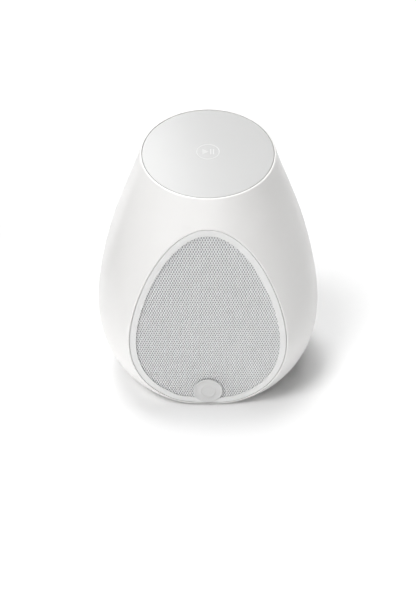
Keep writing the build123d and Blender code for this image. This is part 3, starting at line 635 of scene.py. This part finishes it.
# The badge: a turned disc with a lip round its edge and a raised ring about a dished middle.
badge_front = reach("grille_badge", FRONT_OUT)[1]
badge_low, badge_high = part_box("grille_badge")
badge_radius = (badge_high.x - badge_low.x) / 2
BADGE_THICK = 0.9 * MM
BADGE_PROFILE = [  # share of the radius, depth behind the front as a share of the thickness
    (0.0, 1.0),
    (0.97, 1.0),
    (1.0, 0.75),
    (1.0, 0.35),
    (0.99, 0.12),
    (0.965, 0.0),
    (0.91, 0.0),
    (0.885, 0.08),
    (0.865, 0.24),
    (0.56, 0.30),
    (0.54, 0.22),
    (0.53, 0.06),
    (0.51, 0.0),
    (0.485, 0.0),
    (0.465, 0.06),
    (0.455, 0.24),
    (0.43, 0.32),
    (0.22, 0.42),
    (0.0, 0.45),
]
badge_profile = [(badge_radius * r, badge_front - BADGE_THICK * d) for r, d in BADGE_PROFILE]
badge = piece(
    "badge_disc",
    turned(badge_profile, middle_of("grille_badge"), FRONT_OUT, FRONT_UP),
    FINISHES["badge_white"],
    smooth_below=50,
)
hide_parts("grille_badge")

# ---------------------------------------------------------------- touch mark on the glass
GLASS_FACE = reach("top_glass", TOP_UP)[1]
MARK_RADIUS = 11.4 * MM
MARK_LINE = 1.1 * MM
MARK_THICK = 0.05 * MM
mark_low, mark_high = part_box("light_guide")
mark_middle = (mark_low + mark_high) / 2
mark_centre = mark_middle + TOP_UP * (GLASS_FACE - mark_middle.dot(TOP_UP))


def raised(outline):
    """A flat outline on the glass, raised by the mark's thickness."""
    mesh = bmesh.new()
    feet = [mesh.verts.new(mark_centre + ACROSS * x + TOP_BACK * y) for x, y in outline]
    heads = [mesh.verts.new(foot.co + TOP_UP * MARK_THICK) for foot in feet]
    mesh.faces.new(feet)
    mesh.faces.new(heads)
    for i in range(len(outline)):
        j = (i + 1) % len(outline)
        mesh.faces.new((feet[i], feet[j], heads[j], heads[i]))
    return mesh


def bar(left, right):
    return [(left, -HALF_HIGH), (right, -HALF_HIGH), (right, HALF_HIGH), (left, HALF_HIGH)]


mark_profile = [
    (MARK_RADIUS - MARK_LINE, GLASS_FACE),
    (MARK_RADIUS, GLASS_FACE),
    (MARK_RADIUS, GLASS_FACE + MARK_THICK),
    (MARK_RADIUS - MARK_LINE, GLASS_FACE + MARK_THICK),
]
mark_foot = mark_centre - TOP_UP * GLASS_FACE
HALF_HIGH = 4.0 * MM
PLAY_LEFT, PLAY_TIP = -5.4 * MM, 0.6 * MM
PAUSE_BARS = [(2.0 * MM, 3.2 * MM), (4.6 * MM, 5.8 * MM)]
MARK_PIECES = {
    "touch_ring": turned(mark_profile, mark_foot, TOP_UP, TOP_BACK),
    "touch_play": raised([(PLAY_LEFT, -HALF_HIGH), (PLAY_TIP, 0), (PLAY_LEFT, HALF_HIGH)]),
    "touch_pause_left": raised(bar(*PAUSE_BARS[0])),
    "touch_pause_right": raised(bar(*PAUSE_BARS[1])),
}
mark_ink = printed_mark()
for name, mesh in MARK_PIECES.items():
    piece(name, mesh, mark_ink)


# ---------------------------------------------------------------- parts that flex between two bodies, built as fixed sectors
def radii(node_name, centre):
    """The least and greatest distance of a round node from its axis."""
    away = [point - centre for point in points_of(node_name)]
    distances = [(offset - FRONT_OUT * offset.dot(FRONT_OUT)).length for offset in away]
    return min(distances), max(distances)


def arc(start, end, rise, steps=10):
    """Points on a half roll from one foot to the other."""
    (x1, y1), (x2, y2) = start, end
    middle, half = (x1 + x2) / 2, (x2 - x1) / 2
    return [
        (middle - half * cos(pi * i / steps), y1 + (y2 - y1) * i / steps + rise * sin(pi * i / steps))
        for i in range(steps + 1)
    ]


def flexing(node_name, shape, slot, sectors):
    """A round flexing part turned in equal sectors, each baked in place and riding on no body.

    shape is the profile and the radii at which it starts to follow and at which it follows fully; the
    radii are not used.
    """
    profile, fixed, moving = shape
    centre = middle_of(node_name)
    for number in range(sectors):
        start = 2 * pi * number / sectors
        end = 2 * pi * (number + 1) / sectors
        mesh = turned(profile, centre, FRONT_OUT, FRONT_UP, start, end, steps=FULL_TURN_STEPS // sectors)
        made = piece(f"{node_name}_{number + 1:02d}", mesh, FINISHES[slot], body=None)
        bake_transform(made)
        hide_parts(node_name)


HIGHEST_ROLL = 3.3 * MM  # keeps the roll behind the cloth when the cone is furthest out


def half_roll(node_name, lip, thickness):
    """Profile of a surround: a flat lip at each side and a half roll between, with its two feet."""
    inner, outer = radii(node_name, middle_of(node_name))
    low, high = reach(node_name, FRONT_OUT)
    rise = min(high - low - thickness, HIGHEST_ROLL)
    inner_foot = (inner + lip[0], low)
    outer_foot = (outer - lip[1], low)
    under = [(inner, low), *arc(inner_foot, outer_foot, rise), (outer, low)]
    over = [(r, h + thickness) for r, h in under]
    return under + over[::-1], outer_foot[0], inner_foot[0]


def corrugated(node_name, waves, thickness, flat):
    """Profile of a spider: rings of waves between a flat inner and a flat outer lip."""
    inner, outer = radii(node_name, middle_of(node_name))
    low, high = reach(node_name, FRONT_OUT)
    level, swing = (low + high - thickness) / 2, (high - low - thickness) / 2
    steps = waves * 8
    under = [(inner, level)]
    for i in range(steps + 1):
        radius = inner + flat[0] + (outer - inner - flat[0] - flat[1]) * i / steps
        under.append((radius, level + swing * sin(2 * pi * waves * i / steps)))
    under.append((outer, level))
    over = [(r, h + thickness) for r, h in under]
    return under + over[::-1], outer - flat[1], inner + flat[0]


woofer_roll = half_roll("woofer_surround", lip=(1.6 * MM, 4.8 * MM), thickness=0.6 * MM)
spider_waves = corrugated("woofer_spider", waves=5, thickness=0.5 * MM, flat=(1.5 * MM, 4.5 * MM))
tweeter_roll = half_roll("tweeter_surround", lip=(0.1 * MM, 0.7 * MM), thickness=0.25 * MM)
flexing("woofer_surround", woofer_roll, "surround_rubber", sectors=24)
flexing("woofer_spider", spider_waves, "spider_cloth", sectors=12)
flexing("tweeter_surround", tweeter_roll, "surround_rubber", sectors=8)

# ---------------------------------------------------------------- stage, lights and camera
FLOOR_SIZE = 12.0
floor_mesh = bmesh.new()
bmesh.ops.create_grid(floor_mesh, x_segments=8, y_segments=8, size=FLOOR_SIZE / 2)
floor_data = bpy.data.meshes.new("floor")
floor_mesh.to_mesh(floor_data)
floor_mesh.free()
floor = bpy.data.objects.new("floor", floor_data)
bpy.context.scene.collection.objects.link(floor)
floor_white = finish("floor_white", (0.97, 0.97, 0.97), 0.9, Specular_IOR_Level=0.1)
floor_data.materials.append(floor_white)

# The world is white where the camera sees it, and a much weaker light on the object.
AMBIENT = 0.05
world = bpy.data.worlds.new("studio")
bpy.context.scene.world = world
world.use_nodes = True
backdrop = world.node_tree.nodes["Background"]
seen = world.node_tree.nodes.new("ShaderNodeLightPath")
level = world.node_tree.nodes.new("ShaderNodeMapRange")
level.inputs["To Min"].default_value = AMBIENT
level.inputs["To Max"].default_value = 1.0
world.node_tree.links.new(seen.outputs["Is Camera Ray"], level.inputs["Value"])
world.node_tree.links.new(level.outputs["Result"], backdrop.inputs["Strength"])
backdrop.inputs["Color"].default_value = (1, 1, 1, 1)

LIT_POINT = Vector((0, 0, 0.1))
SUN_DISTANCE = 2.0
SUNS = {  # azimuth, elevation, strength, angular size; azimuth 0 is in front and 90 on the +X side
    "key": (308, 57, 1.35, 22),
    "top_right": (135, 75, 0.45, 20),
    "top_left": (225, 75, 0.90, 20),
    "top_back": (180, 75, 0.35, 20),
    "back": (180, 58, 0.20, 25),
    "left": (315, 35, 0.30, 35),
    "low_left": (315, 12, 0.20, 40),
    "low_front": (0, 12, 0.50, 40),
}


def towards(azimuth, elevation):
    """The direction of a light as seen from the object."""
    across, rise = radians(azimuth), radians(elevation)
    return Vector((sin(across) * cos(rise), -cos(across) * cos(rise), sin(rise)))


def hang(lamp, away, distance):
    """Places a lamp at a distance, facing the object's middle."""
    made = bpy.data.objects.new(lamp.name, lamp)
    made.location = LIT_POINT + away * distance
    made.rotation_mode = "QUATERNION"
    made.rotation_quaternion = (-away).to_track_quat("-Z", "Y")
    made.visible_camera = False
    bpy.context.scene.collection.objects.link(made)


for name, (azimuth, elevation, strength, angle) in SUNS.items():
    sun = bpy.data.lights.new(name, "SUN")
    sun.energy = strength
    sun.angle = radians(angle)
    hang(sun, towards(azimuth, elevation), SUN_DISTANCE)

# A small softbox behind and to the left, whose reflection fades across the glass.
GLOW_SIZE = 0.5
GLOW_WATTS = 2.6
GLOW_DISTANCE = 1.5
glow = bpy.data.lights.new("glass_glow", "AREA")
glow.shape = "SQUARE"
glow.size = GLOW_SIZE
glow.energy = GLOW_WATTS
hang(glow, towards(202, 58), GLOW_DISTANCE)

# A black card just out of view keeps the pale floor's light off the left side and draws its edge.
CARD_X = -0.40
CARD_FRONT, CARD_REAR = -0.35, 0.22
CARD_FOOT, CARD_TOP = 0.02, 0.20
CARD = [
    (CARD_X, CARD_FRONT, CARD_FOOT),
    (CARD_X, CARD_REAR, CARD_FOOT),
    (CARD_X, CARD_REAR, CARD_TOP),
    (CARD_X, CARD_FRONT, CARD_TOP),
]
card_data = bpy.data.meshes.new("black_card")
card_data.from_pydata(CARD, [], [(0, 1, 2, 3)])
card_data.materials.append(finish("card_black", (0.03, 0.03, 0.03), 0.9, Specular_IOR_Level=0.1))
card = bpy.data.objects.new("black_card", card_data)
card.visible_camera = False
bpy.context.scene.collection.objects.link(card)

CAMERA_TARGET = Vector((0, 0, 0.066))
CAMERA_ELEVATION = 36.3
CAMERA_DISTANCE = 0.9729
FOCAL_LENGTH = 52.54
SENSOR_WIDTH = 36.0

camera_data = bpy.data.cameras.new("camera")
camera_data.lens = FOCAL_LENGTH
camera_data.sensor_width = SENSOR_WIDTH
camera = bpy.data.objects.new("camera", camera_data)
tilt = radians(CAMERA_ELEVATION)
back = Vector((0, -cos(tilt), sin(tilt)))
camera.location = CAMERA_TARGET + back * CAMERA_DISTANCE
camera.rotation_mode = "QUATERNION"
camera.rotation_quaternion = (-back).to_track_quat("-Z", "Y")
bpy.context.scene.collection.objects.link(camera)
bpy.context.scene.camera = camera
bpy.context.scene.view_settings.view_transform = "Standard"
